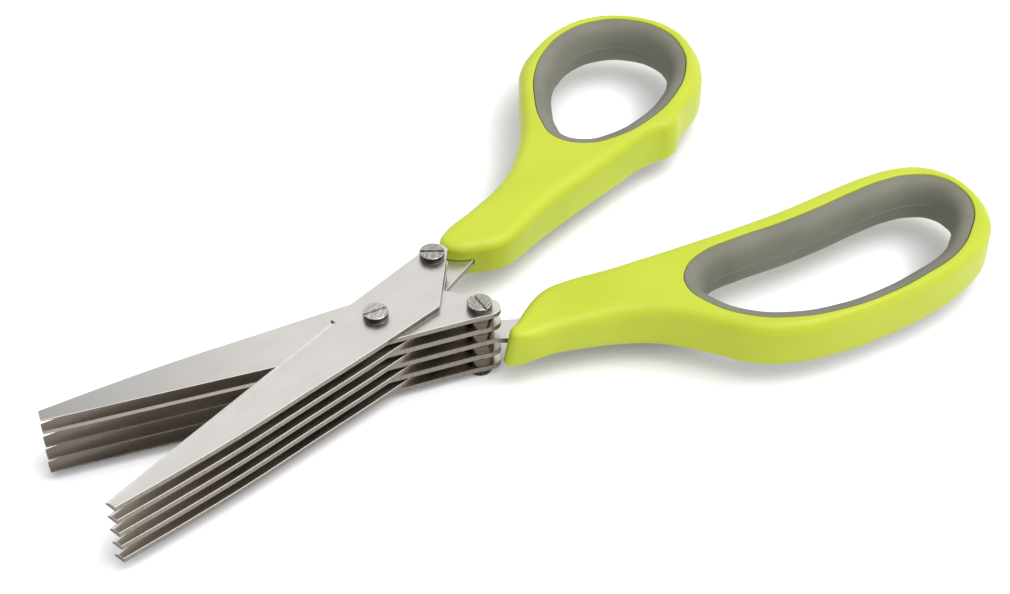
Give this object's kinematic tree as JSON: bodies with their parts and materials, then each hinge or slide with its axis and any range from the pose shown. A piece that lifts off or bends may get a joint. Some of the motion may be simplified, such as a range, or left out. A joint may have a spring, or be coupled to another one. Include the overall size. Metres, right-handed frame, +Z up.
{
  "type": "herb scissors",
  "caption": "Herb scissors with stacked parallel blades on a pivot screw, tied by tail screws, and two moulded ring handles with soft liners.",
  "frame": {"origin": "centre of the plain underside of the pivot sleeve's lower head", "axes": "+Z up along the pivot's axis, the blades point to -X, the thumb half's handle lies on +Y and the finger half's on -Y"},
  "size_m": [0.1865, 0.1115, 0.0186],
  "materials": {
    "blade_steel": "fine ground stainless steel",
    "screw_steel": "turned and brushed stainless steel",
    "spacer_steel": "turned stainless steel",
    "handle_plastic": "satin moulded plastic, yellow green",
    "liner_rubber": "matt soft rubber, warm grey"
  },
  "bodies": {
    "finger_half": {"finger_blade_1": "blade_steel", "finger_blade_2": "blade_steel", "finger_blade_3": "blade_steel", "finger_blade_4": "blade_steel", "finger_blade_5": "blade_steel", "finger_tail_screw": "screw_steel", "finger_tail_sleeve": "screw_steel", "finger_tail_spacer_1": "spacer_steel", "finger_tail_spacer_2": "spacer_steel", "finger_tail_spacer_3": "spacer_steel", "finger_tail_spacer_4": "spacer_steel", "finger_handle": "handle_plastic", "finger_grip_liner": "liner_rubber", "pivot_screw": "screw_steel", "pivot_sleeve": "screw_steel", "pivot_spacer_1": "spacer_steel", "pivot_spacer_2": "spacer_steel", "pivot_spacer_3": "spacer_steel", "pivot_spacer_4": "spacer_steel"},
    "thumb_half": {"thumb_blade_1": "blade_steel", "thumb_blade_2": "blade_steel", "thumb_blade_3": "blade_steel", "thumb_blade_4": "blade_steel", "thumb_blade_5": "blade_steel", "thumb_tail_screw": "screw_steel", "thumb_tail_sleeve": "screw_steel", "thumb_tail_spacer_1": "spacer_steel", "thumb_tail_spacer_2": "spacer_steel", "thumb_tail_spacer_3": "spacer_steel", "thumb_tail_spacer_4": "spacer_steel", "thumb_handle": "handle_plastic", "thumb_grip_liner": "liner_rubber"}
  },
  "joints": [
    {"name": "blade_pivot", "type": "hinge", "parent": "finger_half", "child": "thumb_half", "pos_m": [0, 0, 0.0093], "axis": [0, 0, 1], "range_deg": [-22.3, 90]}
  ]
}
